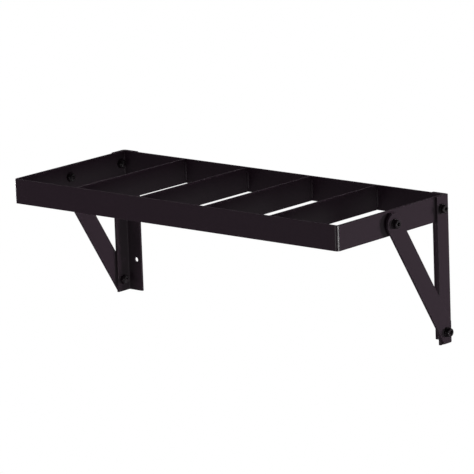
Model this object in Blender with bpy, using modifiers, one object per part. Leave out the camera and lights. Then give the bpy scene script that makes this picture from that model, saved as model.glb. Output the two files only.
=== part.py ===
"""Wall rack of flat steel bar, with a row of open bays for storage on end.

A closed band on edge, crossed by dividers, hangs between two steel angles that are screwed to the
wall. A flat brace on each side runs from the band down to the foot of its angle. Sizes are in
metres. +Z is up, +Y points into the wall and +X to the right of someone who faces the wall. The
origin lies on the wall, midway between the angles and level with the middle of the band's height.
"""

import math

import bmesh
import bpy
from mathutils import Matrix, Vector

# Rack band and dividers
RACK_WIDTH = 0.500
RACK_DEPTH = 0.200
BAND_HEIGHT = 0.030
BAND_THICKNESS = 0.003
BAND_BEND_RADIUS = 0.0015
BAY_COUNT = 5
DIVIDER_THICKNESS = 0.003

# Wall angles
FLANGE_WIDTH = 0.0235
FLANGE_THICKNESS = 0.003
FLANGE_BEND_RADIUS = 0.0015
ANGLE_FOOT_MARGIN = 0.015
WALL_HOLE_RADIUS = 0.003
UPPER_WALL_HOLE_DROP = 0.018
LOWER_WALL_HOLE_RISE = 0.024

# Braces
BRACE_WIDTH = 0.025
BRACE_THICKNESS = 0.003
BRACE_WALL_CLEARANCE = 0.0065
BRACE_LINE_GAUGE = 0.014
BRACE_FOOT_MARGIN = 0.014
FOOT_CORNER_RADIUS = 0.0015

# Rows of screws, measured from the wall and from the middle of the band
FRONT_SCREW_GAUGE = 0.108
REAR_SCREW_GAUGE = 0.0152
LOWER_SCREW_DROP = 0.147

# Screws, washers and nuts
SCREW_RADIUS = 0.003
SCREW_HEAD_RADIUS = 0.005
SCREW_HEAD_HEIGHT = 0.004
SCREW_HEAD_CHAMFER = 0.0005
SCREW_END_PROUD = 0.0015
SCREW_END_CHAMFER = 0.0006
SOCKET_WIDTH = 0.004
SOCKET_DEPTH = 0.0023
SCREW_HOLE_RADIUS = 0.0033
WASHER_RADIUS = 0.006
WASHER_THICKNESS = 0.0016
SPACER_RADIUS = 0.006
NUT_WIDTH = 0.010
NUT_HEIGHT = 0.006
NUT_EDGE_RADIUS = 0.00025
NUT_COLLAR_RADIUS = 0.0044
NUT_COLLAR_HEIGHT = 0.0014

# Clearance between pieces that touch, softened edges and the cutters' overrun
SEAT_GAP = 0.0003
EDGE_RADIUS = 0.0004
SMALL_EDGE_RADIUS = 0.0002
OVERRUN = 0.002

# Counts of facets
BEND_STEPS = 6
EDGE_STEPS = 2
ROUND_END_STEPS = 16
HOLE_SEGMENTS = 24
TURNED_SEGMENTS = 24

SMOOTH_ANGLE = math.radians(35)
MERGE_DISTANCE = 0.00001

# Stack of plates outwards from the band: flange or spacer, then brace
BAND_FACE = RACK_WIDTH / 2
BAND_INNER_FACE = BAND_FACE - BAND_THICKNESS
FLANGE_INNER_FACE = BAND_FACE + SEAT_GAP
FLANGE_OUTER_FACE = FLANGE_INNER_FACE + FLANGE_THICKNESS
BRACE_INNER_FACE = FLANGE_OUTER_FACE + SEAT_GAP
BRACE_OUTER_FACE = BRACE_INNER_FACE + BRACE_THICKNESS

# Rows of screws, seen from the side
BAND_BACK = -FLANGE_THICKNESS - SEAT_GAP
RACK_CENTRE_Y = BAND_BACK - RACK_DEPTH / 2
REAR_SCREW_Y = -REAR_SCREW_GAUGE
FRONT_SCREW_Y = -FRONT_SCREW_GAUGE
LOWER_SCREW_Z = -LOWER_SCREW_DROP
ANGLE_FOOT_Z = LOWER_SCREW_Z - ANGLE_FOOT_MARGIN
BRACE_FOOT_Z = LOWER_SCREW_Z - BRACE_FOOT_MARGIN
BAND_TOP = BAND_HEIGHT / 2

SIDES = {"left": -1, "right": 1}


def clear_scene():
    for obj in list(bpy.data.objects):
        bpy.data.objects.remove(obj, do_unlink=True)


def new_collection(name):
    collection = bpy.data.collections.new(name)
    bpy.context.scene.collection.children.link(collection)
    return collection


def finish_material(name, colour, roughness, metallic):
    material = bpy.data.materials.new(name)
    material.use_nodes = True
    shader = material.node_tree.nodes["Principled BSDF"]
    shader.inputs["Base Color"].default_value = (*colour, 1.0)
    shader.inputs["Roughness"].default_value = roughness
    shader.inputs["Metallic"].default_value = metallic
    return material


def add_object(name, data, collection, material=None):
    obj = bpy.data.objects.new(name, data)
    collection.objects.link(obj)
    if material:
        data.materials.clear()
        data.materials.append(material)
    return obj


def baked_mesh(obj, name):
    """Closed mesh of an object as it is evaluated, in place of the object."""
    bpy.context.view_layer.update()
    graph = bpy.context.evaluated_depsgraph_get()
    mesh = bpy.data.meshes.new_from_object(obj.evaluated_get(graph))
    mesh.name = name
    bm = bmesh.new()
    bm.from_mesh(mesh)
    bmesh.ops.remove_doubles(bm, verts=bm.verts, dist=MERGE_DISTANCE)
    bmesh.ops.recalc_face_normals(bm, faces=bm.faces)
    bm.to_mesh(mesh)
    bm.free()
    bpy.data.objects.remove(obj, do_unlink=True)
    return mesh


def arc(centre, radius, start, end, steps):
    """Points on an arc, with its angles in degrees."""
    points = []
    for step in range(steps + 1):
        angle = math.radians(start + (end - start) * step / steps)
        points.append((centre[0] + radius * math.cos(angle), centre[1] + radius * math.sin(angle)))
    return points


def add_spline(curve, points):
    spline = curve.splines.new("POLY")
    spline.points.add(len(points) - 1)
    for point, (x, y) in zip(spline.points, points):
        point.co = (x, y, 0, 1)
    spline.use_cyclic_u = True


def plate_mesh(name, outline, thickness, collection):
    """Flat plate with the given outline, centred on its own XY plane."""
    curve = bpy.data.curves.new(name, "CURVE")
    curve.dimensions = "2D"
    curve.fill_mode = "BOTH"
    curve.extrude = thickness / 2
    add_spline(curve, outline)
    return baked_mesh(add_object(name, curve, collection), name)


def soften_edges(obj, radius, angle=SMOOTH_ANGLE):
    bevel = obj.modifiers.new("softened edges", "BEVEL")
    bevel.width = radius
    bevel.segments = EDGE_STEPS
    bevel.limit_method = "ANGLE"
    bevel.angle_limit = angle
    bevel.loop_slide = False


def cut(obj, cutter):
    boolean = obj.modifiers.new("hole", "BOOLEAN")
    boolean.operation = "DIFFERENCE"
    boolean.object = cutter


def round_cutter(name, radius, length, place, direction, collection):
    """Cylinder centred on a place, with its axis along a direction."""
    mesh = bpy.data.meshes.new(name)
    bm = bmesh.new()
    bmesh.ops.create_cone(bm, cap_ends=True, segments=HOLE_SEGMENTS, radius1=radius,
                          radius2=radius, depth=length)
    bm.to_mesh(mesh)
    bm.free()
    cutter = add_object(name, mesh, collection)
    turn = Vector((0, 0, 1)).rotation_difference(Vector(direction))
    cutter.matrix_world = Matrix.Translation(place) @ turn.to_matrix().to_4x4()
    cutter.hide_render = True
    cutter.display_type = "WIRE"
    return cutter


def shade(mesh):
    mesh.shade_smooth()
    mesh.set_sharp_from_angle(angle=SMOOTH_ANGLE)


def rounded_rectangle(width, depth, radius, steps):
    """Corner arcs of a rectangle centred on zero, in order round it."""
    x, y = width / 2 - radius, depth / 2 - radius
    points = []
    for centre, start in (((x, y), 0), ((-x, y), 90), ((-x, -y), 180), ((x, -y), 270)):
        points += arc(centre, radius, start, start + 90, steps)
    return points


def make_rack_band(parts, cutters, material):
    """Flat bar on edge, bent round a rectangle and joined into a closed band."""
    profile_curve = bpy.data.curves.new("bar profile", "CURVE")
    profile_curve.dimensions = "2D"
    add_spline(profile_curve, rounded_rectangle(BAND_THICKNESS, BAND_HEIGHT, EDGE_RADIUS, EDGE_STEPS))
    profile = add_object("bar profile", profile_curve, cutters)

    path = bpy.data.curves.new("band path", "CURVE")
    path.dimensions = "2D"
    path.bevel_mode = "OBJECT"
    path.bevel_object = profile
    middle_radius = BAND_BEND_RADIUS + BAND_THICKNESS / 2
    add_spline(path, rounded_rectangle(RACK_WIDTH - BAND_THICKNESS, RACK_DEPTH - BAND_THICKNESS,
                                       middle_radius, BEND_STEPS))
    mesh = baked_mesh(add_object("band path", path, parts), "rack_band")
    bpy.data.objects.remove(profile, do_unlink=True)
    shade(mesh)
    band = add_object("rack_band", mesh, parts, material)
    band.location = (0, RACK_CENTRE_Y, 0)

    hole_length = BAND_THICKNESS + 2 * OVERRUN
    hole_x = BAND_FACE - BAND_THICKNESS / 2
    for side, sign in SIDES.items():
        for row, y in (("front", FRONT_SCREW_Y), ("rear", REAR_SCREW_Y)):
            cut(band, round_cutter(f"band hole {row} {side}", SCREW_HOLE_RADIUS, hole_length,
                                   (sign * hole_x, y, 0), (1, 0, 0), cutters))


def make_dividers(parts, material):
    """Flat bars across the band, which part it into equal bays."""
    inner_width = RACK_WIDTH - 2 * BAND_THICKNESS
    length = RACK_DEPTH - 2 * BAND_THICKNESS - 2 * SEAT_GAP
    pitch = (inner_width + DIVIDER_THICKNESS) / BAY_COUNT
    first_x = -(inner_width + DIVIDER_THICKNESS) / 2 + pitch
    for index in range(BAY_COUNT - 1):
        mesh = bpy.data.meshes.new("divider")
        bm = bmesh.new()
        bmesh.ops.create_cube(bm, size=1)
        bmesh.ops.scale(bm, verts=bm.verts, vec=(DIVIDER_THICKNESS, length, BAND_HEIGHT))
        bm.to_mesh(mesh)
        bm.free()
        divider = add_object(f"divider_{index + 1}", mesh, parts, material)
        divider.location = (first_x + index * pitch, RACK_CENTRE_Y, 0)
        soften_edges(divider, EDGE_RADIUS)


def angle_outline(sign):
    """Section of a wall angle, seen from above, with its heel against the wall."""
    outer = FLANGE_BEND_RADIUS + FLANGE_THICKNESS
    heel = (FLANGE_OUTER_FACE - outer, -outer)
    toe_x = FLANGE_OUTER_FACE - FLANGE_WIDTH
    points = [(toe_x, 0)]
    points += arc(heel, outer, 90, 0, BEND_STEPS)
    points += [(FLANGE_OUTER_FACE, -FLANGE_WIDTH), (FLANGE_INNER_FACE, -FLANGE_WIDTH)]
    points += arc(heel, FLANGE_BEND_RADIUS, 0, 90, BEND_STEPS)
    points += [(toe_x, -FLANGE_THICKNESS)]
    return [(sign * x, y) for x, y in points]


def make_wall_angles(parts, cutters, material):
    """Steel angles: one flange lies on the wall and the other beside the band."""
    height = BAND_TOP - ANGLE_FOOT_Z
    hole_length = FLANGE_THICKNESS + 2 * OVERRUN
    side_hole_x = FLANGE_OUTER_FACE - FLANGE_THICKNESS / 2
    wall_hole_x = FLANGE_OUTER_FACE + REAR_SCREW_Y
    wall_hole_y = -FLANGE_THICKNESS / 2
    wall_hole_z = {"upper": -BAND_TOP - UPPER_WALL_HOLE_DROP,
                   "lower": LOWER_SCREW_Z + LOWER_WALL_HOLE_RISE}
    for side, sign in SIDES.items():
        mesh = plate_mesh(f"wall_angle_{side}", angle_outline(sign), height, parts)
        shade(mesh)
        angle = add_object(f"wall_angle_{side}", mesh, parts, material)
        angle.location = (0, 0, (BAND_TOP + ANGLE_FOOT_Z) / 2)
        soften_edges(angle, EDGE_RADIUS)
        for row, z in (("rear", 0), ("lower", LOWER_SCREW_Z)):
            cut(angle, round_cutter(f"angle hole {row} {side}", SCREW_HOLE_RADIUS, hole_length,
                                    (sign * side_hole_x, REAR_SCREW_Y, z), (1, 0, 0), cutters))
        for row, z in wall_hole_z.items():
            cut(angle, round_cutter(f"wall hole {row} {side}", WALL_HOLE_RADIUS, hole_length,
                                    (sign * wall_hole_x, wall_hole_y, z), (0, 1, 0), cutters))


def brace_outline():
    """Side view of a brace: a round upper end and a foot trimmed level and parallel to the wall."""
    half = BRACE_WIDTH / 2
    top = Vector((FRONT_SCREW_Y, 0))
    along = (Vector((-BRACE_LINE_GAUGE, LOWER_SCREW_Z)) - top).normalized()
    across = Vector((-along.y, along.x))
    rear_start = top + across * half
    front_start = top - across * half
    trim_y = -BRACE_WALL_CLEARANCE
    rear_corner = rear_start + along * ((trim_y - rear_start.x) / along.x)
    front_corner = front_start + along * ((BRACE_FOOT_Z - front_start.y) / along.y)
    radius = FOOT_CORNER_RADIUS
    heading = math.degrees(math.atan2(across.y, across.x))
    points = [tuple(rear_corner)]
    points += arc((trim_y - radius, BRACE_FOOT_Z + radius), radius, 0, -90, BEND_STEPS)
    points += [tuple(front_corner)]
    points += arc(top, half, heading + 180, heading, ROUND_END_STEPS)
    return points


def make_braces(parts, cutters, material):
    """Flat bars that carry the front of the band from the foot of each angle."""
    upright = Matrix(((0, 0, 1), (1, 0, 0), (0, 1, 0))).to_4x4()
    middle = (BRACE_INNER_FACE + BRACE_OUTER_FACE) / 2
    hole_length = BRACE_THICKNESS + 2 * OVERRUN
    for side, sign in SIDES.items():
        mesh = plate_mesh(f"brace_{side}", brace_outline(), BRACE_THICKNESS, parts)
        mesh.transform(upright)
        shade(mesh)
        brace = add_object(f"brace_{side}", mesh, parts, material)
        brace.location = (sign * middle, 0, 0)
        soften_edges(brace, EDGE_RADIUS)
        for row, y, z in (("front", FRONT_SCREW_Y, 0), ("lower", REAR_SCREW_Y, LOWER_SCREW_Z)):
            cut(brace, round_cutter(f"brace hole {row} {side}", SCREW_HOLE_RADIUS, hole_length,
                                    (sign * middle, y, z), (1, 0, 0), cutters))


def turned_mesh(name, profile, collection, closed=False):
    """Solid turned about its own Z axis from points of radius and height, listed top to bottom."""
    mesh = bpy.data.meshes.new(name)
    edges = [(index, index + 1) for index in range(len(profile) - 1)]
    if closed:
        edges.append((len(profile) - 1, 0))
    mesh.from_pydata([(radius, 0, height) for radius, height in profile], edges, [])
    obj = add_object(name, mesh, collection)
    screw = obj.modifiers.new("turn", "SCREW")
    screw.steps = TURNED_SEGMENTS
    screw.render_steps = TURNED_SEGMENTS
    screw.use_merge_vertices = True
    screw.merge_threshold = MERGE_DISTANCE
    return baked_mesh(obj, name)


def hex_prism(name, width, bottom, top, collection):
    """Hexagonal bar about its own Z axis, with its width measured across the flats."""
    mesh = bpy.data.meshes.new(name)
    bm = bmesh.new()
    corner = width / 2 / math.cos(math.radians(30))
    bmesh.ops.create_cone(bm, cap_ends=True, segments=6, radius1=corner, radius2=corner, depth=top - bottom)
    bmesh.ops.translate(bm, verts=bm.verts, vec=(0, 0, (top + bottom) / 2))
    bm.to_mesh(mesh)
    bm.free()
    return add_object(name, mesh, collection)


def ring_profile(inner, outer, bottom, top):
    """Section of a flat ring with its edges taken off."""
    edge = SMALL_EDGE_RADIUS
    return [(inner + edge, top), (outer - edge, top), (outer, top - edge), (outer, bottom + edge),
            (outer - edge, bottom), (inner + edge, bottom), (inner, bottom + edge), (inner, top - edge)]


def screw_mesh(name, shank_length, collection):
    """Low cylinder head with a hexagon socket: the head stands on Z = 0 and the shank runs down."""
    profile = [(0, SCREW_HEAD_HEIGHT), (SCREW_HEAD_RADIUS - SCREW_HEAD_CHAMFER, SCREW_HEAD_HEIGHT),
               (SCREW_HEAD_RADIUS, SCREW_HEAD_HEIGHT - SCREW_HEAD_CHAMFER),
               (SCREW_HEAD_RADIUS, SMALL_EDGE_RADIUS), (SCREW_HEAD_RADIUS - SMALL_EDGE_RADIUS, 0),
               (SCREW_RADIUS, 0), (SCREW_RADIUS, SCREW_END_CHAMFER - shank_length),
               (SCREW_RADIUS - SCREW_END_CHAMFER, -shank_length), (0, -shank_length)]
    blank = add_object(name, turned_mesh(name, profile, collection), collection)
    socket = hex_prism("socket", SOCKET_WIDTH, SCREW_HEAD_HEIGHT - SOCKET_DEPTH,
                       SCREW_HEAD_HEIGHT + OVERRUN, collection)
    cut(blank, socket)
    mesh = baked_mesh(blank, name)
    bpy.data.objects.remove(socket, do_unlink=True)
    shade(mesh)
    return mesh


def nut_mesh(collection):
    """Lock nut whose seat is Z = 0 and whose round collar points down."""
    hex_bottom = NUT_COLLAR_HEIGHT - NUT_HEIGHT
    body = hex_prism("nut", NUT_WIDTH, hex_bottom, 0, collection)
    soften_edges(body, NUT_EDGE_RADIUS)
    collar = add_object("collar", turned_mesh("collar", ring_profile(
        SCREW_RADIUS, NUT_COLLAR_RADIUS, -NUT_HEIGHT, hex_bottom / 2), collection), collection)
    join = body.modifiers.new("collar", "BOOLEAN")
    join.operation = "UNION"
    join.object = collar
    bore = round_cutter("bore", SCREW_HOLE_RADIUS, 2 * NUT_HEIGHT, (0, 0, -NUT_HEIGHT / 2),
                        (0, 0, 1), collection)
    cut(body, bore)
    mesh = baked_mesh(body, "nut")
    for tool in (collar, bore):
        bpy.data.objects.remove(tool, do_unlink=True)
    shade(mesh)
    return mesh


def place_on_axis(obj, sign, x, y, z):
    """Stand a turned piece on a side of the rack, with its top pointing outwards."""
    obj.rotation_euler = (0, sign * math.radians(90), 0)
    obj.location = (sign * x, y, z)


def make_fasteners(parts, steel, coat):
    """Screws with washers outside and lock nuts inside, and spacers that level the braces."""
    washer = turned_mesh("washer", ring_profile(SCREW_HOLE_RADIUS, WASHER_RADIUS, 0, WASHER_THICKNESS),
                         parts, closed=True)
    spacer = turned_mesh("spacer", ring_profile(SCREW_HOLE_RADIUS, SPACER_RADIUS, 0, FLANGE_THICKNESS),
                         parts, closed=True)
    nut = nut_mesh(parts)
    for mesh in (washer, spacer):
        shade(mesh)

    # Each row: where its screw stands, the face under its washer and the face under its nut
    rows = {"front": (FRONT_SCREW_Y, 0, BRACE_OUTER_FACE, BAND_INNER_FACE),
            "rear": (REAR_SCREW_Y, 0, FLANGE_OUTER_FACE, BAND_INNER_FACE),
            "lower": (REAR_SCREW_Y, LOWER_SCREW_Z, BRACE_OUTER_FACE, FLANGE_INNER_FACE)}
    for row, (y, z, outer_face, inner_face) in rows.items():
        washer_x = outer_face + SEAT_GAP
        head_x = washer_x + WASHER_THICKNESS + SEAT_GAP
        nut_x = inner_face - SEAT_GAP
        shank_length = head_x - (nut_x - NUT_HEIGHT - SCREW_END_PROUD)
        screw = screw_mesh(f"screw {row}", shank_length, parts)
        for side, sign in SIDES.items():
            place_on_axis(add_object(f"screw_{row}_{side}", screw, parts, steel), sign, head_x, y, z)
            place_on_axis(add_object(f"washer_{row}_{side}", washer, parts, steel), sign, washer_x, y, z)
            place_on_axis(add_object(f"nut_{row}_{side}", nut, parts, steel), sign, nut_x, y, z)
    for side, sign in SIDES.items():
        place_on_axis(add_object(f"spacer_{side}", spacer, parts, coat), sign, FLANGE_INNER_FACE,
                      FRONT_SCREW_Y, 0)


def main():
    clear_scene()
    parts = new_collection("backdrop storage rack")
    cutters = new_collection("cutters")
    coat = finish_material("black powder coat", (0.026, 0.024, 0.026), 0.55, 0.0)
    steel = finish_material("blackened steel", (0.030, 0.029, 0.030), 0.38, 0.6)
    make_rack_band(parts, cutters, coat)
    make_dividers(parts, coat)
    make_wall_angles(parts, cutters, coat)
    make_braces(parts, cutters, coat)
    make_fasteners(parts, steel, coat)


main()
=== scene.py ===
"""Looks of a wall rack of flat steel bar: its pieces in their finished shape, its finishes, a studio."""

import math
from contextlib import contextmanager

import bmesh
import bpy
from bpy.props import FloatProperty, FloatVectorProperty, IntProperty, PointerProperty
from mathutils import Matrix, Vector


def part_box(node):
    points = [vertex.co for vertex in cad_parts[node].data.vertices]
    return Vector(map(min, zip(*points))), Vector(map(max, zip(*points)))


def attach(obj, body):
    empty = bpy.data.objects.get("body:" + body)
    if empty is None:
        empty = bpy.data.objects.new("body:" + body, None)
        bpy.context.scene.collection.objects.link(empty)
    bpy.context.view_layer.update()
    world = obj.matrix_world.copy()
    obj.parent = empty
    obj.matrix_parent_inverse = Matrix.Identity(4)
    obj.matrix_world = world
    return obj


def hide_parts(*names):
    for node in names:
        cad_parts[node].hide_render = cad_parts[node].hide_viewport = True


bl_info = {
    "name": "Backdrop Storage Rack",
    "version": (1, 0, 0),
    "blender": (4, 5, 0),
    "location": "View3D > Sidebar > Rack",
    "description": "Models the pieces, finishes and studio of a wall rack around its packed frame",
    "category": "Object",
}

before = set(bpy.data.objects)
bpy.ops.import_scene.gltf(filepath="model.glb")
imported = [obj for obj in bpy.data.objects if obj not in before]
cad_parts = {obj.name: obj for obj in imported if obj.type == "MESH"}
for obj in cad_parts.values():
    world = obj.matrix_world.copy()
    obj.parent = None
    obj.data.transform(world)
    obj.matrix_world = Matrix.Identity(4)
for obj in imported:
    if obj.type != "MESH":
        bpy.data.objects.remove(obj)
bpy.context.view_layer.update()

SIDES = {"left": -1, "right": 1}
DIVIDERS = range(1, 5)


# Sizes that the frame gives
def piece_size(node):
    low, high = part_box(node)
    return high - low


def piece_middle(node):
    low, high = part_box(node)
    return (low + high) / 2


BAR_THICKNESS = piece_size("divider_1").x
BRACE_THICKNESS = piece_size("brace_right").x
WASHER_RADIUS = piece_size("washer_rear_right").z / 2
SPACER_RADIUS = piece_size("spacer_right").z / 2
HEAD_RADIUS = piece_size("screw_rear_right").z / 2
FRONT_AXIS = piece_middle("screw_front_right")
REAR_AXIS = piece_middle("screw_rear_right")
LOWER_AXIS = piece_middle("screw_lower_right")
SCREW_AXES = {"front": FRONT_AXIS, "rear": REAR_AXIS, "lower": LOWER_AXIS}

# Tests: places this near are one, a direction lies mostly along an axis from this part of it on, an
# edge is sharp from this angle on, and faces within this angle of each other are flat
NEAR = 0.00001
MOSTLY = 0.5
SHARP = math.radians(35)
FLAT = math.radians(0.1)

# Length of a cutter, in thicknesses of what it cuts
THROUGH = 3

# Facets of what is round
ROUND_PROFILE = 0.5
BEND_SEGMENTS = 16
EDGE_SEGMENTS = 3
FINE_EDGE_SEGMENTS = 2
FOOT_SEGMENTS = 8
HOLE_SIDES = 48
TURNED_SIDES = 64
HEAD_SIDES = 72
ROUND_END_SIDES = 96
BEAD_SIDES = 16
THREAD_STEPS = 40

# Weld beads: share of the band's height, width at the narrows of a ripple, width at the ends with its
# slope towards the middle, and a slow wander of the width from ring to ring and from bead to bead
BEAD_SHARE = 0.8
RIPPLE_NARROWS = 0.82
BEAD_END = 0.45
BEAD_END_SLOPE = 6
BEAD_WANDER = 0.05
WANDER_STEP = 1.7
WANDER_START = 2.3

# Screws: shank, thread and socket. The thread's depth and foot are shares of its pitch, its crest is a
# share of its foot, and its wear is that of an edge rubbed in part.
SHANK_RADIUS = 0.003
SHANK_NECK = 0.0006
SHANK_TIP = 0.0006
THREAD_TURNS = 5
THREAD_START = 0.0003
THREAD_DEPTH = 0.55
THREAD_FOOT = 0.86
THREAD_CREST = 0.16
THREAD_WEAR = 0.6
SOCKET_OVERRUN = 0.001
SOCKET_FLOOR_INSET = 0.0003
SOCKET_POINT_DEPTH = 0.0006
SOCKET_POINT_SHARE = 0.1
MOUTH_INSET = 0.0002
MOUTH_MARGIN = 0.0005
MOUTH_DEPTH = 0.0009

# Lock nuts: chamfer, collar, and the well in its end with the nylon ring. The collar's lip is given in
# steps inwards from its side and upwards from its end.
NUT_CHAMFER_SLOPE = 0.6
NUT_CHAMFER_MARGIN = 0.0001
NUT_HOLE_MARGIN = 0.0001
COLLAR_HEIGHT = 0.0014
COLLAR_RADIUS = 0.0044
COLLAR_LIP = ((0.0008, 0), (0.0003, 0.00006), (0.00006, 0.0003), (0, 0.0006))
WELL_DEPTH = 0.0007
WELL_WALL = 0.0009
INSERT_WALL = 0.00092
INSERT_OVERLAP = 0.00003
INSERT_SHARE = 0.55

# Noises of the finishes, and the spans of their values that count
COAT_GRAIN = {"size": 0.00045, "detail": 3}
COAT_PEEL = {"size": 0.0021, "detail": 2}
COAT_CLOUD = {"size": 0.045, "detail": 4}
COAT_RUB = {"size": 0.006, "detail": 5}
STEEL_TONE = {"size": 0.0035, "detail": 4}
STEEL_SCRATCH = {"size": 0.0004, "detail": 3}
NYLON_CLOUD = {"size": 0.0012, "detail": 3}
NOISE_SPAN = (0.3, 0.7)
PATCH_SPAN = (0.35, 0.7)
NYLON_PATCH_SPAN = (0.35, 0.65)
COAT_RUB_SPAN = (0.42, 0.68)
STEEL_RUB_SPAN = (0.4, 0.62)

# Roughness: how far a noise takes it from its mean, nylon's own, and what rubbing and handling take off
COAT_GRAIN_ROUGHNESS = (-0.06, 0.08)
COAT_CLOUD_ROUGHNESS = (-0.03, 0.04)
STEEL_SCRATCH_ROUGHNESS = (-0.06, 0.1)
NYLON_ROUGHNESS = (0.38, 0.5)
RUB_POLISH = 0.12
BEND_POLISH = 0.42
BEND_SPREAD = 2.5

# Relief: shares of the noises in its height, its strength, and its height in metres
GRAIN_HEIGHT = 0.55
PEEL_HEIGHT = 0.9
COAT_BUMP = 0.6
BEND_BUMP = 0.06
COAT_RELIEF = 0.00006
STEEL_BUMP = 0.3
STEEL_RELIEF = 0.00002

# Tone of the steel's paler patches, as a multiple of the others'
STEEL_PALER = 1.6

# Camera
FRAME_PIXELS = 474
SENSOR_WIDTH = 36
CLIP_END = 100

# Floor: near the rack it glows a little less than white, and its glow is full from further off
WHITE = (1, 1, 1, 1)
FLOOR_SIZE = 80
FLOOR_PAINT = (0.85, 0.85, 0.85, 1)
FLOOR_ROUGHNESS = 0.9
FLOOR_FADE = (2, 6)
FLOOR_GLOW = (0.9, 1)

# Lamps: place, width and height, and whether matt surfaces or gloss do without their light
LAMPS = {
    "key": {"place": (2.2, 2.05, 0), "size": (0.9, 0.15)},
    "fill": {"place": (-1.7, -2.6, 0), "size": (1.4, 0.2)},
    "rim": {"place": (-2.4, 2.2, 1.4), "size": (1.6, 1.6), "gloss": False},
    "side": {"place": (-2.6, 1.2, -0.3), "size": (1.2, 1.2)},
    "right glint": {"place": (3.08, -0.84, -0.67), "size": (1.7, 0.7), "matt": False},
    "front glint": {"place": (-0.5, -3.25, -0.72), "size": (0.5, 0.7), "matt": False},
}


class RackSizes(bpy.types.PropertyGroup):
    """Sizes of the detail that the frame doesn't give."""
    bend_radius: FloatProperty(
        name="Bend Radius", description="Outer radius of the band's and the angles' bends",
        default=0.0045, min=0.0031, unit="LENGTH")
    edge_radius: FloatProperty(
        name="Edge Radius", description="Radius of the bars' softened edges",
        default=0.0004, min=0.0001, unit="LENGTH")
    fine_edge: FloatProperty(
        name="Fine Edge", description="Radius of the fasteners' edges",
        default=0.00018, min=0.00005, unit="LENGTH")
    screw_hole: FloatProperty(
        name="Screw Hole", description="Diameter of the holes for the screws",
        default=0.0066, unit="LENGTH")
    wall_hole: FloatProperty(
        name="Wall Hole", description="Diameter of the holes in the wall flanges",
        default=0.006, unit="LENGTH")
    upper_hole_drop: FloatProperty(
        name="Upper Hole Drop", description="Upper wall hole below the band's lower edge",
        default=0.018, unit="LENGTH")
    lower_hole_rise: FloatProperty(
        name="Lower Hole Rise", description="Lower wall hole above the lowest screw",
        default=0.024, unit="LENGTH")
    brace_gauge: FloatProperty(
        name="Brace Gauge",
        description="Distance of a brace's centre line from the wall beside its lower screw",
        default=0.014, unit="LENGTH")
    foot_radius: FloatProperty(
        name="Foot Radius", description="Radius of the rear corner of a brace's foot",
        default=0.0015, unit="LENGTH")
    thread_radius: FloatProperty(
        name="Thread Radius", description="Outer radius of the screws' thread",
        default=0.00297, unit="LENGTH")
    thread_pitch: FloatProperty(
        name="Thread Pitch", description="Rise of the thread in one turn",
        default=0.001, unit="LENGTH")
    head_height: FloatProperty(
        name="Head Height", description="Height of a screw's low cylinder head",
        default=0.004, unit="LENGTH")
    head_chamfer: FloatProperty(
        name="Head Chamfer", description="Width of the chamfer round the top of a screw's head",
        default=0.0005, unit="LENGTH")
    socket_width: FloatProperty(
        name="Socket Width", description="Width across the flats of a screw's socket",
        default=0.004, unit="LENGTH")
    socket_depth: FloatProperty(
        name="Socket Depth", description="Depth of a screw's socket",
        default=0.0023, unit="LENGTH")
    weld_leg: FloatProperty(
        name="Weld Leg", description="Reach of a weld bead from its corner",
        default=0.0021, unit="LENGTH")
    weld_ripples: IntProperty(
        name="Weld Ripples", description="Ripples along a weld bead",
        default=15, min=3)


class RackFinish(bpy.types.PropertyGroup):
    """Colours and roughness of the finishes."""
    coat_colour: FloatVectorProperty(
        name="Coat Colour", description="Colour of the powder coat",
        subtype="COLOR", size=3, default=(0.0190, 0.0097, 0.0165), min=0, max=1)
    coat_mottle: FloatVectorProperty(
        name="Coat Mottle", description="Colour of the coat's paler patches",
        subtype="COLOR", size=3, default=(0.0218, 0.0118, 0.0190), min=0, max=1)
    coat_wear: FloatVectorProperty(
        name="Coat Wear", description="Colour of the coat where edges are rubbed",
        subtype="COLOR", size=3, default=(0.045, 0.034, 0.042), min=0, max=1)
    coat_roughness: FloatProperty(
        name="Coat Roughness", description="Mean roughness of the powder coat",
        subtype="FACTOR", default=0.72, min=0, max=1)
    coat_gloss: FloatProperty(
        name="Coat Gloss", description="Specular level of the powder coat",
        subtype="FACTOR", default=0.03, min=0, max=1)
    steel_colour: FloatVectorProperty(
        name="Steel Colour", description="Colour of the blackened fasteners",
        subtype="COLOR", size=3, default=(0.0075, 0.0045, 0.0065), min=0, max=1)
    steel_wear: FloatVectorProperty(
        name="Steel Wear", description="Colour of the fasteners' rubbed edges",
        subtype="COLOR", size=3, default=(0.07, 0.06, 0.066), min=0, max=1)
    steel_roughness: FloatProperty(
        name="Steel Roughness", description="Mean roughness of the fasteners",
        subtype="FACTOR", default=0.38, min=0, max=1)
    steel_gloss: FloatProperty(
        name="Steel Gloss", description="Specular level of the fasteners",
        subtype="FACTOR", default=0.022, min=0, max=1)
    nylon_colour: FloatVectorProperty(
        name="Nylon Colour", description="Colour of the nuts' locking rings",
        subtype="COLOR", size=3, default=(0.030, 0.031, 0.034), min=0, max=1)
    nylon_mottle: FloatVectorProperty(
        name="Nylon Mottle", description="Colour of the locking rings' paler patches",
        subtype="COLOR", size=3, default=(0.042, 0.043, 0.047), min=0, max=1)


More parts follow.
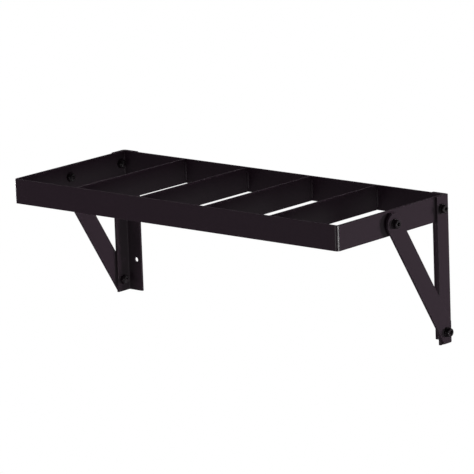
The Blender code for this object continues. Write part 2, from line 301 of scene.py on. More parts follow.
class RackStudio(bpy.types.PropertyGroup):
    """Camera and light."""
    yaw: FloatProperty(
        name="Camera Yaw", description="Turn of the camera about the vertical",
        subtype="ANGLE", default=math.radians(40.663))
    pitch: FloatProperty(
        name="Camera Pitch", description="Downward tilt of the camera",
        subtype="ANGLE", default=math.radians(12.618))
    roll: FloatProperty(
        name="Camera Roll", description="Roll of the camera about its line of sight",
        subtype="ANGLE", default=math.radians(-2.051))
    distance: FloatProperty(
        name="Camera Distance",
        description="Distance to the middle of the band along the line of sight",
        unit="LENGTH", default=4.950)
    lens: FloatProperty(
        name="Lens", description="Focal length in millimetres", unit="CAMERA", default=317.91)
    centre_column: FloatProperty(
        name="Centre Column", description="Pixel column where the middle of the band appears",
        subtype="PIXEL", default=226.22)
    centre_row: FloatProperty(
        name="Centre Row", description="Pixel row where the middle of the band appears",
        subtype="PIXEL", default=198.59)
    floor_drop: FloatProperty(
        name="Floor Drop", description="Height of the band above the floor",
        unit="LENGTH", default=2.4)
    ambient: FloatProperty(
        name="Ambient", description="Strength of the even light from all round", default=0.2)
    key_power: FloatProperty(
        name="Key Power", description="Power of the strip lamp at the right, beyond the wall's plane",
        unit="POWER", default=84)
    fill_power: FloatProperty(
        name="Fill Power", description="Power of the strip lamp in front, to the left",
        unit="POWER", default=25)
    rim_power: FloatProperty(
        name="Rim Power",
        description="Power of the lamp above, behind and to the left, which gloss doesn't show",
        unit="POWER", default=36)
    side_power: FloatProperty(
        name="Side Power", description="Power of the soft lamp that lights the left sides",
        unit="POWER", default=60)
    right_glint_power: FloatProperty(
        name="Right Glint Power", description="Power of the panel at the right that shows only in gloss",
        unit="POWER", default=760)
    front_glint_power: FloatProperty(
        name="Front Glint Power", description="Power of the panel in front that shows only in gloss",
        unit="POWER", default=140)


# Modelling by hand, in code
def deselect_all():
    if bpy.context.mode != "OBJECT":
        bpy.ops.object.mode_set(mode="OBJECT")
    bpy.ops.object.select_all(action="DESELECT")


def take(piece):
    """Make a piece the only one selected, and the active one."""
    deselect_all()
    piece.select_set(True)
    bpy.context.view_layer.objects.active = piece


def settle(piece):
    """Move an object's place, turn and scale into its mesh."""
    take(piece)
    bpy.ops.object.transform_apply(location=True, rotation=True, scale=True)


def start(name, primitive, scale=(1, 1, 1), **settings):
    """Piece that begins as one of Blender's primitives."""
    deselect_all()
    primitive(**settings)
    piece = bpy.context.active_object
    piece.name = name
    piece.scale = scale
    settle(piece)
    return piece


def block(name, low, high):
    """Box between two corners."""
    return start(name, bpy.ops.mesh.primitive_cube_add, high - low, size=1, location=(low + high) / 2)


@contextmanager
def editing(piece):
    """Edit mode on one piece, with nothing selected yet."""
    take(piece)
    bpy.ops.object.mode_set(mode="EDIT")
    bpy.ops.mesh.select_all(action="DESELECT")
    yield
    bpy.ops.object.mode_set(mode="OBJECT")


def pick(kind, test):
    """Select the vertices, edges or faces of the piece in edit mode that pass a test."""
    bpy.ops.mesh.select_mode(type=kind)
    bpy.ops.mesh.select_all(action="DESELECT")
    mesh = bpy.context.edit_object.data
    shape = bmesh.from_edit_mesh(mesh)
    shape.normal_update()
    items = {"VERT": shape.verts, "EDGE": shape.edges, "FACE": shape.faces}[kind]
    for item in items:
        item.select_set(test(item))
    shape.select_flush_mode()
    bmesh.update_edit_mesh(mesh)


def is_upright(edge):
    """Whether an edge runs mostly along Z."""
    direction = (edge.verts[1].co - edge.verts[0].co).normalized()
    return abs(direction.z) > MOSTLY


def is_level(face):
    """Whether a face looks mostly up or down."""
    return abs(face.normal.z) > MOSTLY


def is_open(edge):
    """Whether an edge bounds one face only."""
    return len(edge.link_faces) == 1


def round_off(radius, segments, affect="EDGES"):
    """Round the selected edges or corners."""
    bpy.ops.mesh.bevel(offset=radius, segments=segments, profile=ROUND_PROFILE, affect=affect)


def apply_modifier(piece, kind, **settings):
    modifier = piece.modifiers.new(kind, kind)
    for name, value in settings.items():
        setattr(modifier, name, value)
    take(piece)
    bpy.ops.object.modifier_apply(modifier=modifier.name)


def fold(piece):
    """Thicken a bent sheet inwards to a bar."""
    apply_modifier(piece, "SOLIDIFY", thickness=BAR_THICKNESS, offset=-1, use_even_offset=True)


def combine(piece, other, operation):
    """Cut, meet or join a piece with another, which is used up."""
    apply_modifier(piece, "BOOLEAN", object=other, operation=operation, solver="EXACT")
    bpy.data.objects.remove(other, do_unlink=True)


def bore(piece, middle, axis, radius, length):
    """Cut a round hole centred on a place."""
    tilt = Vector((0, 0, 1)).rotation_difference(Vector(axis)).to_euler()
    cutter = start("hole", bpy.ops.mesh.primitive_cylinder_add, vertices=HOLE_SIDES, radius=radius,
                   depth=length, location=middle, rotation=tilt)
    combine(piece, cutter, "DIFFERENCE")


def drill(piece, x, axes, thickness, sizes):
    """Drill a plate that faces sideways for the screws on these axes."""
    for axis in axes:
        bore(piece, (x, axis.y, axis.z), (1, 0, 0), sizes.screw_hole / 2, THROUGH * thickness)


def point_outwards(piece):
    """Merge what a cut leaves double, and turn all faces outwards."""
    with editing(piece):
        bpy.ops.mesh.select_all(action="SELECT")
        bpy.ops.mesh.remove_doubles(threshold=NEAR / 2)
        bpy.ops.mesh.normals_make_consistent(inside=False)


def soften(piece, radius, segments=EDGE_SEGMENTS):
    """Round the sharp edges, and mark the rounding as the place where a finish wears.

    The rounding takes a second material slot, by which its faces are known from the flat ones.
    """
    take(piece)
    bpy.ops.object.shade_smooth_by_angle(angle=SHARP)
    mesh = piece.data
    rounding = 1
    while len(mesh.materials) <= rounding:
        mesh.materials.append(None)
    apply_modifier(piece, "BEVEL", width=radius, segments=segments, limit_method="ANGLE",
                   angle_limit=SHARP, harden_normals=True, material=rounding, loop_slide=False)
    flats = [face for face in mesh.polygons if face.material_index != rounding]
    on_flat = {corner for face in flats for corner in face.vertices}
    mark(piece, "edge", [float(vertex.index not in on_flat) for vertex in mesh.vertices])
    for face in mesh.polygons:
        face.material_index = 0
    mesh.materials.clear()


def drop_slivers(piece):
    """Merge away the faces that a rounding leaves too small to see."""
    with editing(piece):
        bpy.ops.mesh.select_all(action="SELECT")
        bpy.ops.mesh.remove_doubles(threshold=NEAR)
        bpy.ops.mesh.dissolve_degenerate(threshold=NEAR / 10)


def shade_anew(piece):
    """Shade a softened piece again after a cut, so that its flat faces look flat."""
    take(piece)
    bpy.ops.mesh.customdata_custom_splitnormals_clear()
    bpy.ops.object.shade_smooth_by_angle(angle=SHARP)
    apply_modifier(piece, "WEIGHTED_NORMAL", keep_sharp=True)


def mark(piece, name, values):
    """Write a value for each vertex, which a finish reads by its name."""
    layer = piece.data.attributes.new(name, "FLOAT", "POINT")
    layer.data.foreach_set("value", values)


def mark_bends(piece, bends, radius):
    """Mark the outside of each bend, save near its ends, as a place that handling polishes."""
    values = [0.0] * len(piece.data.vertices)
    for centre, outward in bends:
        for vertex in piece.data.vertices:
            across = (vertex.co.x - centre.x) * outward.x
            along = (vertex.co.y - centre.y) * outward.y
            outside = math.hypot(across, along) > radius - BAR_THICKNESS / 2
            if across > 0 and along > 0 and outside:
                share = min(1, BEND_SPREAD * math.sin(2 * math.atan2(along, across)))
                values[vertex.index] = share ** 2
    mark(piece, "bend", values)


def finish_piece(piece, material, slot, *nodes):
    """Give a finished piece its material, and put it in its node's place on the rack."""
    settle(piece)
    piece.data.name = piece.name
    piece.data.materials.clear()
    piece.data.materials.append(material)
    if nodes:
        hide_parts(*nodes)
    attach(piece, "root")


# Finishes
def link(tree, source, target):
    """Link an output to a socket, or set the socket to a number or colour."""
    if isinstance(source, bpy.types.NodeSocket):
        tree.links.new(source, target)
    else:
        target.default_value = source


def add_node(tree, kind, **inputs):
    """Shader node, with its inputs set or linked by name."""
    node = tree.nodes.new(kind)
    for name, value in inputs.items():
        link(tree, value, node.inputs[name])
    return node


def read_mark(tree, name):
    node = tree.nodes.new("ShaderNodeAttribute")
    node.attribute_name = name
    return node.outputs["Fac"]


def noise(tree, place, size, detail):
    """Noise whose grains are about as wide as the given length."""
    node = add_node(tree, "ShaderNodeTexNoise", Vector=place, Scale=1 / size, Detail=detail)
    return node.outputs["Fac"]


def ramp(tree, value, low, high, to_low=0.0, to_high=1.0):
    """Map a range of values onto another, held at its ends."""
    spans = {"From Min": low, "From Max": high, "To Min": to_low, "To Max": to_high}
    return add_node(tree, "ShaderNodeMapRange", Value=value, **spans).outputs["Result"]


def maths(tree, operation, first, second):
    node = tree.nodes.new("ShaderNodeMath")
    node.operation = operation
    for socket, value in zip(node.inputs, (first, second)):
        link(tree, value, socket)
    return node.outputs[0]


def mix_colour(tree, share, first, second):
    node = tree.nodes.new("ShaderNodeMix")
    node.data_type = "RGBA"
    link(tree, share, node.inputs["Factor"])
    sockets = [socket for socket in node.inputs if socket.type == "RGBA"]
    for socket, colour in zip(sockets, (first, second)):
        link(tree, colour if isinstance(colour, bpy.types.NodeSocket) else (*colour, 1), socket)
    return [socket for socket in node.outputs if socket.type == "RGBA"][0]


def mix_shader(tree, share, first, second):
    node = tree.nodes.new("ShaderNodeMixShader")
    for socket, source in zip(node.inputs, (share, first.outputs[0], second.outputs[0])):
        link(tree, source, socket)
    return node.outputs[0]


def new_material(name):
    material = bpy.data.materials.new(name)
    material.use_nodes = True
    tree = material.node_tree
    place = tree.nodes.new("ShaderNodeTexCoord").outputs["Object"]
    return material, tree, tree.nodes["Principled BSDF"], place


def powder_coat(finish):
    """Matt powder coat with a fine grain, a slight orange peel, paler patches and rubbed edges.

    Its bends are handled most, so they are smoother.
    """
    name = "black powder coat"
    if name in bpy.data.materials:
        return bpy.data.materials[name]
    material, tree, shader, place = new_material(name)
    grain = noise(tree, place, **COAT_GRAIN)
    peel = noise(tree, place, **COAT_PEEL)
    cloud = noise(tree, place, **COAT_CLOUD)
    rub = noise(tree, place, **COAT_RUB)
    worn = maths(tree, "MULTIPLY", read_mark(tree, "edge"), ramp(tree, rub, *COAT_RUB_SPAN))
    patches = ramp(tree, cloud, *PATCH_SPAN)
    base = mix_colour(tree, patches, finish.coat_colour, finish.coat_mottle)
    link(tree, mix_colour(tree, worn, base, finish.coat_wear), shader.inputs["Base Color"])
    mean = finish.coat_roughness
    uneven = maths(tree, "ADD",
                   ramp(tree, grain, *NOISE_SPAN, *(mean + change for change in COAT_GRAIN_ROUGHNESS)),
                   ramp(tree, cloud, *NOISE_SPAN, *COAT_CLOUD_ROUGHNESS))
    bent = read_mark(tree, "bend")
    handled = maths(tree, "ADD", maths(tree, "MULTIPLY", worn, RUB_POLISH),
                    maths(tree, "MULTIPLY", bent, BEND_POLISH))
    link(tree, maths(tree, "SUBTRACT", uneven, handled), shader.inputs["Roughness"])
    height = maths(tree, "ADD", maths(tree, "MULTIPLY", grain, GRAIN_HEIGHT),
                   maths(tree, "MULTIPLY", peel, PEEL_HEIGHT))
    strength = ramp(tree, bent, 0, 1, COAT_BUMP, BEND_BUMP)
    bump = add_node(tree, "ShaderNodeBump", Height=height, Strength=strength, Distance=COAT_RELIEF)
    link(tree, bump.outputs["Normal"], shader.inputs["Normal"])
    shader.inputs["Specular IOR Level"].default_value = finish.coat_gloss
    return material


def blackened_steel(finish):
    """Oil-blackened steel: very dark, finely scratched, and paler where its edges are rubbed."""
    name = "blackened steel"
    if name in bpy.data.materials:
        return bpy.data.materials[name]
    material, tree, shader, place = new_material(name)
    tone = noise(tree, place, **STEEL_TONE)
    scratch = noise(tree, place, **STEEL_SCRATCH)
    worn = maths(tree, "MULTIPLY", read_mark(tree, "edge"), ramp(tree, tone, *STEEL_RUB_SPAN))
    paler = [STEEL_PALER * part for part in finish.steel_colour]
    base = mix_colour(tree, ramp(tree, tone, *PATCH_SPAN), finish.steel_colour, paler)
    link(tree, mix_colour(tree, worn, base, finish.steel_wear), shader.inputs["Base Color"])
    mean = finish.steel_roughness
    uneven = ramp(tree, scratch, *NOISE_SPAN, *(mean + change for change in STEEL_SCRATCH_ROUGHNESS))
    link(tree, uneven, shader.inputs["Roughness"])
    bump = add_node(tree, "ShaderNodeBump", Height=scratch, Strength=STEEL_BUMP, Distance=STEEL_RELIEF)
    link(tree, bump.outputs["Normal"], shader.inputs["Normal"])
    shader.inputs["Specular IOR Level"].default_value = finish.steel_gloss
    return material


def nylon(finish):
    """Dull dark nylon of the nuts' locking rings."""
    name = "dark nylon"
    if name in bpy.data.materials:
        return bpy.data.materials[name]
    material, tree, shader, place = new_material(name)
    cloud = noise(tree, place, **NYLON_CLOUD)
    patches = ramp(tree, cloud, *NYLON_PATCH_SPAN)
    colour = mix_colour(tree, patches, finish.nylon_colour, finish.nylon_mottle)
    link(tree, colour, shader.inputs["Base Color"])
    link(tree, ramp(tree, cloud, *NOISE_SPAN, *NYLON_ROUGHNESS), shader.inputs["Roughness"])
    return material


# Pieces
def make_band(sizes, material):
    """Bar bent round the bays, drilled at each side for the brackets' screws."""
    low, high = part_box("rack_band")
    middle = piece_middle("rack_band")
    band = block("band", low, high)
    with editing(band):
        pick("FACE", is_level)
        bpy.ops.mesh.delete(type="ONLY_FACE")
        pick("EDGE", is_upright)
        round_off(sizes.bend_radius, BEND_SEGMENTS)
    fold(band)
    for sign in SIDES.values():
        drill(band, sign * (high.x - BAR_THICKNESS / 2), (FRONT_AXIS, REAR_AXIS), BAR_THICKNESS, sizes)
    point_outwards(band)
    soften(band, sizes.edge_radius)
    reach = (high - low) / 2 - Vector((1, 1, 0)) * sizes.bend_radius
    bends = [(middle + Vector((reach.x * x, reach.y * y, 0)), Vector((x, y)))
             for x in (-1, 1) for y in (-1, 1)]
    mark_bends(band, bends, sizes.bend_radius)
    finish_piece(band, material, "powder_coat", "rack_band")


def make_dividers(sizes, material):
    """Each divider fills the gap to the band, where it is welded."""
    band_low, band_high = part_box("rack_band")
    for index in DIVIDERS:
        low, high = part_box(f"divider_{index}")
        low.y = band_low.y + BAR_THICKNESS
        high.y = band_high.y - BAR_THICKNESS
        bar = block(f"bay_divider_{index}", low, high)
        soften(bar, sizes.edge_radius)
        finish_piece(bar, material, "powder_coat", f"divider_{index}")


def make_welds(sizes, material):
    """Rippled beads in the corners between the dividers and the band."""
    band_low, band_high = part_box("rack_band")
    length = BEAD_SHARE * (band_high.z - band_low.z)
    ends = {"front": band_low.y + BAR_THICKNESS, "back": band_high.y - BAR_THICKNESS}
    for index in DIVIDERS:
        low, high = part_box(f"divider_{index}")
        for end, y in ends.items():
            for side, x in (("left", low.x), ("right", high.x)):
                bead = start(f"weld_{index}_{end}_{side}", bpy.ops.mesh.primitive_cylinder_add,
                             vertices=BEAD_SIDES, radius=sizes.weld_leg, depth=length,
                             location=(x, y, piece_middle("rack_band").z))
                shape_bead(bead, 2 * sizes.weld_ripples, index)
                finish_piece(bead, material, "powder_coat")


def shape_bead(bead, rings, index):
    """Ring the bead with ripples and draw in its two ends."""
    corners = [vertex.co for vertex in bead.data.vertices]
    low, high = min(corner.z for corner in corners), max(corner.z for corner in corners)
    middle = sum(corners, Vector()) / len(corners)
    with editing(bead):
        pick("EDGE", is_upright)
        bpy.ops.mesh.subdivide(number_cuts=rings - 1)
        for ring_index in range(rings + 1):
            z = low + (high - low) * ring_index / rings
            from_end = min(ring_index, rings - ring_index) / rings
            ripple = 1.0 if ring_index % 2 else RIPPLE_NARROWS
            taper = min(1, BEAD_END + BEAD_END_SLOPE * from_end)
            wander = 1 + BEAD_WANDER * math.sin(WANDER_STEP * ring_index + WANDER_START * index)
            size = ripple * taper * wander
            pick("VERT", lambda vertex: abs(vertex.co.z - z) < NEAR)
            bpy.ops.transform.resize(value=(size, size, 1), center_override=(middle.x, middle.y, z))
    apply_modifier(bead, "SUBSURF", levels=1, render_levels=1)
    take(bead)
    bpy.ops.object.shade_smooth()


def make_wall_angle(side, sizes, material):
    """Upright angle: one flange outside the band's side, the other inwards on the wall."""
    sign = SIDES[side]
    low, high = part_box(f"wall_angle_{side}")
    outer = max(low.x, high.x, key=abs)
    angle = block(f"angle_{side}", low, high)
    with editing(angle):
        pick("FACE", lambda face: sign * face.normal.x < MOSTLY and face.normal.y < MOSTLY)
        bpy.ops.mesh.delete(type="FACE")
        pick("EDGE", lambda edge: not is_open(edge))
        round_off(sizes.bend_radius, BEND_SEGMENTS)
    fold(angle)
    drill(angle, outer - sign * BAR_THICKNESS / 2, (REAR_AXIS, LOWER_AXIS), BAR_THICKNESS, sizes)
    wall_holes = (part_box("rack_band")[0].z - sizes.upper_hole_drop, LOWER_AXIS.z + sizes.lower_hole_rise)
    for z in wall_holes:
        bore(angle, (outer + sign * REAR_AXIS.y, high.y - BAR_THICKNESS / 2, z), (0, 1, 0),
             sizes.wall_hole / 2, THROUGH * BAR_THICKNESS)
    point_outwards(angle)
    soften(angle, sizes.edge_radius)
    heel = Vector((outer - sign * sizes.bend_radius, high.y - sizes.bend_radius))
    mark_bends(angle, [(heel, Vector((sign, 1)))], sizes.bend_radius)
    finish_piece(angle, material, "powder_coat", f"wall_angle_{side}")


def make_brace(side, sizes, material):
    """Flat bar with a round upper end, and a foot cut level and parallel to the wall."""
    low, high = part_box(f"brace_{side}")
    middle_x = (low.x + high.x) / 2
    top = Vector((middle_x, FRONT_AXIS.y, FRONT_AXIS.z))
    along = Vector((0, -sizes.brace_gauge - FRONT_AXIS.y, LOWER_AXIS.z - FRONT_AXIS.z)).normalized()
    past_the_foot = along * 2 * (high.z - low.z)
    brace = start(f"strut_{side}", bpy.ops.mesh.primitive_circle_add, vertices=ROUND_END_SIDES,
                  radius=high.z - FRONT_AXIS.z, fill_type="NGON", location=top,
                  rotation=(0, math.radians(90), 0))
    with editing(brace):
        bpy.ops.mesh.select_all(action="SELECT")
        bpy.ops.mesh.bisect(plane_co=top, plane_no=along, clear_outer=True)
        pick("EDGE", lambda edge: all(abs((end.co - top).dot(along)) < NEAR for end in edge.verts))
        bpy.ops.mesh.extrude_region_move()
        bpy.ops.transform.translate(value=past_the_foot)
        for point, normal in (((middle_x, 0, low.z), (0, 0, -1)), ((middle_x, high.y, 0), (0, 1, 0))):
            bpy.ops.mesh.select_all(action="SELECT")
            bpy.ops.mesh.bisect(plane_co=point, plane_no=normal, clear_outer=True)
        rear_corner = Vector((middle_x, high.y, low.z))
        pick("VERT", lambda vertex: (vertex.co - rear_corner).length < NEAR)
        round_off(sizes.foot_radius, FOOT_SEGMENTS, "VERTICES")
        bpy.ops.mesh.select_all(action="SELECT")
        bpy.ops.mesh.dissolve_limited(angle_limit=FLAT)
    apply_modifier(brace, "SOLIDIFY", thickness=BRACE_THICKNESS, offset=0)
    drill(brace, middle_x, (FRONT_AXIS, LOWER_AXIS), BRACE_THICKNESS, sizes)
    point_outwards(brace)
    soften(brace, sizes.edge_radius)
    finish_piece(brace, material, "powder_coat", f"brace_{side}")


def turn(name, profile, sides=TURNED_SIDES):
    """Solid turned about Z, grown ring by ring from points of radius and height, bottom to top."""
    radius, height = profile[0]
    piece = start(name, bpy.ops.mesh.primitive_circle_add, vertices=sides, radius=radius,
                  fill_type="NGON", location=(0, 0, height))
    with editing(piece):
        bpy.ops.mesh.select_all(action="SELECT")
        for next_radius, next_height in profile[1:]:
            share = next_radius / radius
            bpy.ops.mesh.extrude_region_move()
            bpy.ops.transform.resize(value=(share, share, 1), center_override=(0, 0, height))
            bpy.ops.transform.translate(value=(0, 0, next_height - height))
            radius, height = next_radius, next_height
    point_outwards(piece)
    return piece


def ring(name, outer, hole, height):
    """Flat ring that stands on Z = 0: a disc whose faces are inset, opened and bridged."""
    piece = start(name, bpy.ops.mesh.primitive_cylinder_add, vertices=TURNED_SIDES, radius=outer,
                  depth=height, location=(0, 0, height / 2))
    with editing(piece):
        pick("FACE", is_level)
        bpy.ops.mesh.inset(thickness=outer - hole, use_individual=True)
        bpy.ops.mesh.delete(type="ONLY_FACE")
        pick("EDGE", is_open)
        bpy.ops.mesh.bridge_edge_loops()
    point_outwards(piece)
    return piece


def hexagon_corner(flats):
    """Distance of a hexagon's corners from its middle, for its width across the flats."""
    return flats / 2 / math.cos(math.radians(30))


def span(node):
    """Distances of a node's inner and outer ends from the rack's middle."""
    low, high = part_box(node)
    return tuple(sorted((abs(low.x), abs(high.x))))


def stand(piece, sign, x, axis):
    """Turn a piece from +Z outwards to its side of the rack, and move it to its axis."""
    piece.rotation_euler = (0, sign * math.radians(90), 0)
    piece.location = (sign * x, axis.y, axis.z)
    settle(piece)


def place_pair(piece, row, name, node, x, material, slot):
    """Stand a copy of a piece, with a mesh of its own, on each side in the piece's stead."""
    for side, sign in SIDES.items():
        suffix = f"{row}_{side}" if row else side
        nodes = [f"{node}_{suffix}"] if node else []
        copy = piece.copy()
        copy.data = piece.data.copy()
        copy.name = f"{name}_{suffix}"
        bpy.context.scene.collection.objects.link(copy)
        stand(copy, sign, x, SCREW_AXES[row or "front"])
        finish_piece(copy, material, slot, *nodes)
    bpy.data.objects.remove(piece, do_unlink=True)


def thread(sizes, bottom, core):
    """One unbroken ridge that climbs round a shank."""
    pitch = sizes.thread_pitch
    crest = sizes.thread_radius
    width = crest - core + NEAR
    ridge = start("ridge", bpy.ops.mesh.primitive_plane_add, size=pitch)
    with editing(ridge):
        bpy.ops.mesh.select_all(action="SELECT")
        bpy.ops.transform.rotate(value=math.radians(90), orient_axis="X", center_override=(0, 0, 0))
        bpy.ops.transform.resize(value=(width / pitch, 1, THREAD_FOOT), center_override=(0, 0, 0))
        bpy.ops.transform.translate(value=((crest + core) / 2, 0, bottom))
        pick("VERT", lambda vertex: vertex.co.x > crest - 2 * NEAR)
        bpy.ops.transform.resize(value=(1, 1, THREAD_CREST), center_override=(0, 0, bottom))
        bpy.ops.mesh.select_all(action="SELECT")
        bpy.ops.mesh.delete(type="ONLY_FACE")
    apply_modifier(ridge, "SCREW", angle=math.radians(360), screw_offset=pitch, iterations=THREAD_TURNS,
                   steps=THREAD_STEPS, render_steps=THREAD_STEPS, use_merge_vertices=False)
    with editing(ridge):
        pick("EDGE", is_open)
        bpy.ops.mesh.edge_face_add()
    point_outwards(ridge)
    return ridge


def cut_socket(head, sizes):
    """Cut a hexagon with a pointed floor into a screw's head, and widen its mouth."""
    top = sizes.head_height
    corner = hexagon_corner(sizes.socket_width)
    socket = start("socket", bpy.ops.mesh.primitive_cylinder_add, vertices=6, radius=corner,
                   depth=sizes.socket_depth + SOCKET_OVERRUN,
                   location=(0, 0, top + (SOCKET_OVERRUN - sizes.socket_depth) / 2))
    with editing(socket):
        pick("FACE", lambda face: face.normal.z < -MOSTLY)
        bpy.ops.mesh.inset(thickness=SOCKET_FLOOR_INSET)
        bpy.ops.mesh.extrude_region_move()
        bpy.ops.transform.translate(value=(0, 0, -SOCKET_POINT_DEPTH))
        bpy.ops.transform.resize(value=(SOCKET_POINT_SHARE, SOCKET_POINT_SHARE, 1),
                                 center_override=(0, 0, 0))
    combine(head, socket, "DIFFERENCE")
    mouth = start("mouth", bpy.ops.mesh.primitive_cone_add, vertices=HOLE_SIDES,
                  radius1=sizes.socket_width / 2 - MOUTH_INSET, radius2=corner + MOUTH_MARGIN,
                  depth=MOUTH_DEPTH, location=(0, 0, top))
    combine(head, mouth, "DIFFERENCE")


def join(piece, other):
    """Add a thread to a piece, evenly rubbed."""
    mark(other, "edge", [THREAD_WEAR] * len(other.data.vertices))
    take(piece)
    other.select_set(True)
    bpy.ops.object.join()


def make_screw(row, sizes, material):
    """Screw with a low cylinder head: its edges are rounded first, and its socket cut after."""
    low, high = span(f"screw_{row}_right")
    head_seat = high - sizes.head_height
    length = head_seat - low
    core = sizes.thread_radius - THREAD_DEPTH * sizes.thread_pitch
    shank = [(core - SHANK_TIP, -length), (core, SHANK_TIP - length), (core, -2 * SHANK_NECK),
             (SHANK_RADIUS, -SHANK_NECK), (SHANK_RADIUS, 0)]
    head = [(HEAD_RADIUS, 0), (HEAD_RADIUS, sizes.head_height - sizes.head_chamfer),
            (HEAD_RADIUS - sizes.head_chamfer, sizes.head_height)]
    blank = turn(f"bolt_{row}", shank + head, HEAD_SIDES)
    soften(blank, sizes.fine_edge, FINE_EDGE_SEGMENTS)
    cut_socket(blank, sizes)
    point_outwards(blank)
    shade_anew(blank)
    join(blank, thread(sizes, THREAD_START - length, core))
    place_pair(blank, row, "bolt", "screw", head_seat, material, "blackened_steel")


def make_nut(row, sizes, steel, plastic):
    """Lock nut: a hexagon chamfered all round, a collar rolled over and the dark ring that it holds."""
    low, high = span(f"nut_{row}_right")
    size = piece_size(f"nut_{row}_right")
    height, flats = high - low, min(size.y, size.z)
    corner = hexagon_corner(flats)
    bottom = COLLAR_HEIGHT - height
    body = start(f"locknut_{row}", bpy.ops.mesh.primitive_cylinder_add, vertices=6, radius=corner,
                 depth=height - COLLAR_HEIGHT, location=(0, 0, bottom / 2))
    inner, outer = flats / 2 - NUT_CHAMFER_MARGIN, corner + NUT_CHAMFER_MARGIN
    slope = NUT_CHAMFER_SLOPE * (corner - flats / 2)
    chamfer = turn("chamfer", [(inner, bottom - NEAR), (outer, bottom + slope + NEAR),
                               (outer, -slope), (inner, NEAR)])
    combine(body, chamfer, "INTERSECT")
    lip = [(COLLAR_RADIUS - inwards, upwards - height) for inwards, upwards in COLLAR_LIP]
    combine(body, turn("collar", [*lip, (COLLAR_RADIUS, bottom / 2)]), "UNION")
    hole = sizes.thread_radius + NUT_HOLE_MARGIN
    bore(body, (0, 0, -height / 2), (0, 0, 1), hole, THROUGH * height)
    bore(body, (0, 0, -height), (0, 0, 1), COLLAR_RADIUS - WELL_WALL, 2 * WELL_DEPTH)
    point_outwards(body)
    soften(body, sizes.fine_edge, FINE_EDGE_SEGMENTS)
    drop_slivers(body)
    place_pair(body, row, "locknut", "nut", high, steel, "blackened_steel")
    insert = ring(f"insert_{row}", COLLAR_RADIUS - INSERT_WALL, hole - INSERT_OVERLAP,
                  WELL_DEPTH * INSERT_SHARE)
    soften(insert, sizes.fine_edge / 2, FINE_EDGE_SEGMENTS)
    for vertex in insert.data.vertices:
        vertex.co.z -= height - WELL_DEPTH * (1 - INSERT_SHARE)
    place_pair(insert, row, "nut_insert", None, high, plastic, "blackened_steel")


def make_washer(row, sizes, material):
    low, high = span(f"washer_{row}_right")
    washer = ring(f"washer_plate_{row}", WASHER_RADIUS, sizes.screw_hole / 2, high - low)
    soften(washer, sizes.fine_edge, FINE_EDGE_SEGMENTS)
    place_pair(washer, row, "washer_plate", "washer", low, material, "blackened_steel")


def make_spacers(sizes, material):
    """Rings that keep the braces' upper ends off the band, as far as the angles keep their feet."""
    low, high = span("spacer_right")
    spacer = ring("distance_ring", SPACER_RADIUS, sizes.screw_hole / 2, high - low)
    soften(spacer, sizes.fine_edge, FINE_EDGE_SEGMENTS)
    place_pair(spacer, None, "distance_ring", "spacer", low, material, "powder_coat")


# Studio
def camera_axes(studio):
    """Directions in which the camera looks, and that lie to the right and top of its picture."""
    yaw, pitch, roll = studio.yaw, studio.pitch, studio.roll
    forward = Vector((-math.sin(yaw) * math.cos(pitch), math.cos(yaw) * math.cos(pitch),
                      -math.sin(pitch)))
    level = Vector((math.cos(yaw), math.sin(yaw), 0))
    upright = level.cross(forward)
    right = math.cos(roll) * level + math.sin(roll) * upright
    top = math.cos(roll) * upright - math.sin(roll) * level
    return forward, right, top


def make_camera(studio):
    """Camera that puts the middle of the band at its pixel of the frame."""
    forward, right, top = camera_axes(studio)
    pixel = SENSOR_WIDTH / studio.lens / FRAME_PIXELS * studio.distance
    column = studio.centre_column - FRAME_PIXELS / 2
    row = studio.centre_row - FRAME_PIXELS / 2
    middle = piece_middle("rack_band")
    place = middle - studio.distance * forward - column * pixel * right + row * pixel * top
    data = bpy.data.cameras.new("camera")
    data.lens = studio.lens
    data.sensor_width = SENSOR_WIDTH
    data.clip_end = CLIP_END
    camera = bpy.data.objects.new("camera", data)
    bpy.context.scene.collection.objects.link(camera)
    turn_matrix = Matrix((right, top, -forward)).transposed()
    camera.matrix_world = Matrix.Translation(place) @ turn_matrix.to_4x4()
    bpy.context.scene.camera = camera


def add_lamp(name, target, power, place, size, matt=True, gloss=True):
    """Panel turned to a target, whose light the matt part of a finish, its gloss or both can take."""
    data = bpy.data.lights.new(name, "AREA")
    data.shape = "RECTANGLE"
    data.size, data.size_y = size
    data.energy = power
    lamp = bpy.data.objects.new(name, data)
    bpy.context.scene.collection.objects.link(lamp)
    lamp.location = place
    lamp.rotation_euler = (target - Vector(place)).to_track_quat("-Z", "Y").to_euler()
    lamp.visible_diffuse = matt
    lamp.visible_glossy = gloss


def seen_directly(tree):
    """1 for rays that show the backdrop: from the camera, off gloss or through glass."""
    path = tree.nodes.new("ShaderNodeLightPath")
    gloss = maths(tree, "MAXIMUM", path.outputs["Is Camera Ray"], path.outputs["Is Glossy Ray"])
    return maths(tree, "MAXIMUM", gloss, path.outputs["Is Transmission Ray"])


def make_world(studio):
    """Even light from all round, with white where it is seen."""
    world = bpy.data.worlds.new("studio")
    bpy.context.scene.world = world
    world.use_nodes = True
    tree = world.node_tree
    tree.nodes.clear()
    soft = add_node(tree, "ShaderNodeBackground", Color=WHITE, Strength=studio.ambient)
    white = add_node(tree, "ShaderNodeBackground", Color=WHITE, Strength=1)
    output = tree.nodes.new("ShaderNodeOutputWorld")
    link(tree, mix_shader(tree, seen_directly(tree), soft, white), output.inputs["Surface"])


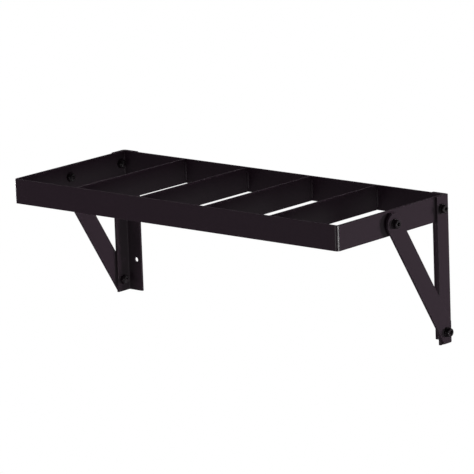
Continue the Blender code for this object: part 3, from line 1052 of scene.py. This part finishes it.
def make_floor(studio):
    """White floor that keeps a trace of shadow near the rack and glows white further off."""
    deselect_all()
    bpy.ops.mesh.primitive_plane_add(size=FLOOR_SIZE, location=(0, 0, -studio.floor_drop))
    floor = bpy.context.active_object
    floor.name = "floor"
    material, tree, paint, place = new_material("floor paint")
    paint.inputs["Base Color"].default_value = FLOOR_PAINT
    paint.inputs["Roughness"].default_value = FLOOR_ROUGHNESS
    glow = add_node(tree, "ShaderNodeEmission", Color=WHITE, Strength=1)
    distance = tree.nodes.new("ShaderNodeVectorMath")
    distance.operation = "LENGTH"
    link(tree, place, distance.inputs[0])
    glowing = ramp(tree, distance.outputs["Value"], *FLOOR_FADE, *FLOOR_GLOW)
    share = maths(tree, "MULTIPLY", seen_directly(tree), glowing)
    link(tree, mix_shader(tree, share, paint, glow), tree.nodes["Material Output"].inputs["Surface"])
    floor.data.materials.append(material)


def make_stage(studio):
    make_world(studio)
    make_floor(studio)
    for name, settings in LAMPS.items():
        power = getattr(studio, name.replace(" ", "_") + "_power")
        add_lamp(name, piece_middle("rack_band"), power, **settings)
    bpy.context.scene.view_settings.view_transform = "Standard"


# Operators
class RACK_OT_band(bpy.types.Operator):
    """Model the band and the bays' dividers with their welds"""
    bl_idname = "rack.band"
    bl_label = "Band and Dividers"

    def execute(self, context):
        sizes, coat = context.scene.rack_sizes, powder_coat(context.scene.rack_finish)
        make_band(sizes, coat)
        make_dividers(sizes, coat)
        make_welds(sizes, coat)
        return {"FINISHED"}


class RACK_OT_brackets(bpy.types.Operator):
    """Model the wall angles and the braces"""
    bl_idname = "rack.brackets"
    bl_label = "Wall Angles and Braces"

    def execute(self, context):
        sizes, coat = context.scene.rack_sizes, powder_coat(context.scene.rack_finish)
        for side in SIDES:
            make_wall_angle(side, sizes, coat)
            make_brace(side, sizes, coat)
        make_spacers(sizes, coat)
        return {"FINISHED"}


class RACK_OT_fasteners(bpy.types.Operator):
    """Model the screws, washers and lock nuts"""
    bl_idname = "rack.fasteners"
    bl_label = "Fasteners"

    def execute(self, context):
        sizes, finish = context.scene.rack_sizes, context.scene.rack_finish
        steel, plastic = blackened_steel(finish), nylon(finish)
        for row in SCREW_AXES:
            make_screw(row, sizes, steel)
            make_washer(row, sizes, steel)
            make_nut(row, sizes, steel, plastic)
        return {"FINISHED"}


class RACK_OT_studio(bpy.types.Operator):
    """Set up the floor, the light and the camera"""
    bl_idname = "rack.studio"
    bl_label = "Studio"

    def execute(self, context):
        make_stage(context.scene.rack_studio)
        make_camera(context.scene.rack_studio)
        return {"FINISHED"}


class RACK_PT_panel(bpy.types.Panel):
    """Pieces and settings of the rack"""
    bl_label = "Storage Rack"
    bl_idname = "RACK_PT_panel"
    bl_space_type = "VIEW_3D"
    bl_region_type = "UI"
    bl_category = "Rack"

    def draw(self, context):
        for group in (context.scene.rack_sizes, context.scene.rack_finish, context.scene.rack_studio):
            box = self.layout.box()
            for name in group.__annotations__:
                box.prop(group, name)
        for operator in OPERATORS:
            self.layout.operator(operator.bl_idname)


GROUPS = {"rack_sizes": RackSizes, "rack_finish": RackFinish, "rack_studio": RackStudio}
OPERATORS = (RACK_OT_band, RACK_OT_brackets, RACK_OT_fasteners, RACK_OT_studio)


def register():
    for group in GROUPS.values():
        bpy.utils.register_class(group)
    for operator in OPERATORS:
        bpy.utils.register_class(operator)
    bpy.utils.register_class(RACK_PT_panel)
    for name, group in GROUPS.items():
        setattr(bpy.types.Scene, name, PointerProperty(type=group))


def unregister():
    for name in GROUPS:
        delattr(bpy.types.Scene, name)
    bpy.utils.unregister_class(RACK_PT_panel)
    for operator in reversed(OPERATORS):
        bpy.utils.unregister_class(operator)
    for group in GROUPS.values():
        bpy.utils.unregister_class(group)


def main():
    register()
    bpy.ops.rack.studio()
    bpy.ops.rack.band()
    bpy.ops.rack.brackets()
    bpy.ops.rack.fasteners()


if __name__ == "__main__":
    main()
